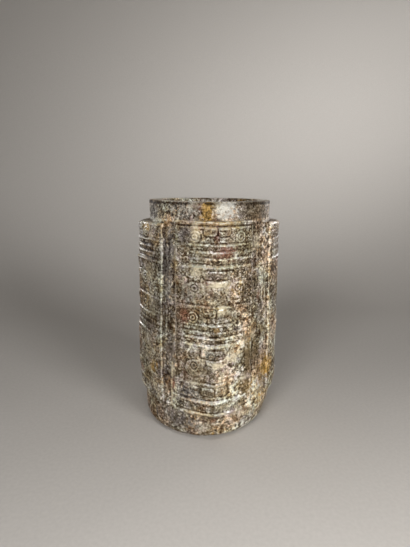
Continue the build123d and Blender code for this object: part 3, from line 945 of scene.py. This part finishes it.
    # Pale skin, smoothed skin and painted highlights are smoother and a little glossy, and dark soil has
    # almost no gloss
    rough = add(
        tree, "ShaderNodeMapRange", None,
        {"Value": tone, "From Min": 0.1, "From Max": 0.9, "To Min": 0.62, "To Max": 0.42},
    ).outputs[0]
    rough = add(tree, "ShaderNodeMath", MULTIPLY_ADD, {0: rubbed_and_highlit, 1: -0.25, 2: rough}).outputs[0]
    gloss = add(
        tree, "ShaderNodeMapRange", None,
        {"Value": tone, "From Min": 0.15, "From Max": 0.75, "To Min": 0.08, "To Max": 0.5},
    ).outputs[0]
    bump = add(
        tree, "ShaderNodeBump", None,
        {"Height": grain[0], "Strength": 0.35, "Distance": 0.12 * MILLIMETRE},
    ).outputs[0]
    shader = add(
        tree, "ShaderNodeBsdfPrincipled", None,
        {"Base Color": colour, "Roughness": rough, "IOR": 1.61, "Specular IOR Level": gloss, "Normal": bump},
    )
    add(tree, "ShaderNodeOutputMaterial", None, {"Surface": shader.outputs[0]})
    return material


def matte_paper():
    """A sweep of matte grey paper: even, with a faint fibre and no gloss."""
    material = new_material("matte_paper")
    tree = material.node_tree
    place = add(tree, "ShaderNodeTexCoord").outputs["Object"]
    # Real fibres are too fine to show, so they are drawn as clouds of this size
    fibre_size = 2.0 * MILLIMETRE
    fibre = add(tree, "ShaderNodeTexNoise", None, {"Vector": place, "Scale": 1.0 / fibre_size, "Detail": 3.0})
    tints = ((0.3, "#b6b1ab"), (0.7, "#bcb7b1"))
    shade = add(tree, "ShaderNodeValToRGB", None, {"Fac": fibre.outputs[0]}, tints).outputs["Color"]
    shader = add(tree, "ShaderNodeBsdfPrincipled", None, {"Base Color": shade, "Roughness": 0.9})
    add(tree, "ShaderNodeOutputMaterial", None, {"Surface": shader.outputs[0]})
    return material


# Studio, in metres

def paper_sweep():
    """A floor that turns up into a backdrop behind the stone."""
    half_width, front, turn_start, turn_radius, height = 3.6, -0.85, 0.2, 0.45, 2.4
    outline = [(front, 0.0), (turn_start, 0.0)]
    for turn in np.linspace(0.0, math.pi / 2, 33)[1:]:
        outline.append((turn_start + turn_radius * math.sin(turn), turn_radius * (1 - math.cos(turn))))
    outline.append((turn_start + turn_radius, height))
    points = [(x, y, z) for x in (-half_width, half_width) for y, z in outline]
    mesh = bpy.data.meshes.new("paper_sweep")
    mesh.from_pydata(points, [], quads(np.arange(len(points)).reshape(2, -1).T))
    mesh.shade_smooth()
    mesh.materials.append(matte_paper())
    sweep = bpy.data.objects.new("paper_sweep", mesh)
    bpy.context.collection.objects.link(sweep)


def softbox(name, place, aim, width, height, power, spread):
    """A soft rectangular lamp that faces a point, with a beam of some degrees. The camera doesn't see it."""
    lamp = bpy.data.lights.new(name, "AREA")
    lamp.shape = "RECTANGLE"
    lamp.size = width
    lamp.size_y = height
    lamp.energy = power
    lamp.spread = math.radians(spread)
    holder = bpy.data.objects.new(name, lamp)
    bpy.context.collection.objects.link(holder)
    direction = np.array(aim) - np.array(place)
    yaw = math.atan2(direction[0], -direction[1])
    drop = math.atan2(math.hypot(direction[0], direction[1]), -direction[2])
    holder.location = place
    holder.rotation_euler = (drop, 0.0, yaw + math.pi)
    holder.visible_camera = False


def studio_light():
    """A lamp over the front, a key from the right, a softer fill from the left, two weak ones behind, and one
    for the backdrop. The room behind the camera is pale to look at and gives little light."""
    room_light, room_seen = 0.12, 0.5
    front, back = (0.0, -0.05, 0.07), (0.0, 0.03, 0.09)
    softbox("overhead_softbox", (0.1, -0.34, 0.9), (0.1, -0.33, 0.0), 0.5, 0.3, 0.85, 36.0)
    softbox("key_softbox", (0.8, -0.9, 0.35), front, 0.45, 0.45, 2.55, 90.0)
    softbox("fill_softbox", (-0.55, -0.95, 0.5), front, 0.45, 0.45, 1.68, 90.0)
    softbox("back_right_softbox", (0.62, 0.58, 0.17), back, 0.3, 0.2, 0.2, 38.0)
    softbox("back_left_softbox", (-0.62, 0.58, 0.17), back, 0.3, 0.2, 0.2, 38.0)
    softbox("backdrop_softbox", (0.9, -0.2, 0.9), (0.33, 0.65, 0.34), 0.8, 0.3, 1.12, 45.0)
    world = bpy.data.worlds.new("even_room")
    world.use_nodes = True
    tree = world.node_tree
    ray = add(tree, "ShaderNodeLightPath").outputs
    seen = add(
        tree, "ShaderNodeMath", {"operation": "MAXIMUM"},
        {0: ray["Is Camera Ray"], 1: ray["Is Glossy Ray"]},
    ).outputs[0]
    strength = add(
        tree, "ShaderNodeMapRange", None,
        {"Value": seen, "To Min": room_light, "To Max": room_seen},
    ).outputs[0]
    room = tree.nodes["Background"].inputs
    room["Color"].default_value = linear("#d8d4cf")
    tree.links.new(strength, room["Strength"])
    bpy.context.scene.world = world


def photo_camera():
    """The camera, held a forearm's length away, a little over the rim and looking down."""
    lens, sensor = 25.0, 36.0
    distance, height = 258.6 * MILLIMETRE, 159.2 * MILLIMETRE
    step_left = math.radians(4.0)
    turn_left, tilt_down, roll = 0.0103, 0.2283, 0.0081
    data = bpy.data.cameras.new("photo_camera")
    data.lens = lens
    data.sensor_width = sensor
    data.clip_start = 0.01
    camera = bpy.data.objects.new("photo_camera", data)
    bpy.context.collection.objects.link(camera)
    place = (-distance * math.sin(step_left), -distance * math.cos(step_left), height)
    camera.matrix_world = (
        Matrix.Translation(place)
        @ Matrix.Rotation(turn_left - step_left, 4, "Z")
        @ Matrix.Rotation(math.pi / 2 - tilt_down, 4, "X")
        @ Matrix.Rotation(roll, 4, "Z")
    )
    bpy.context.scene.camera = camera


bpy.context.scene.view_settings.view_transform = "Standard"
stone = weathered_jade()
for corner_name in CORNERS:
    corner_piece(corner_name)
collars_and_tube()
paper_sweep()
studio_light()
photo_camera()
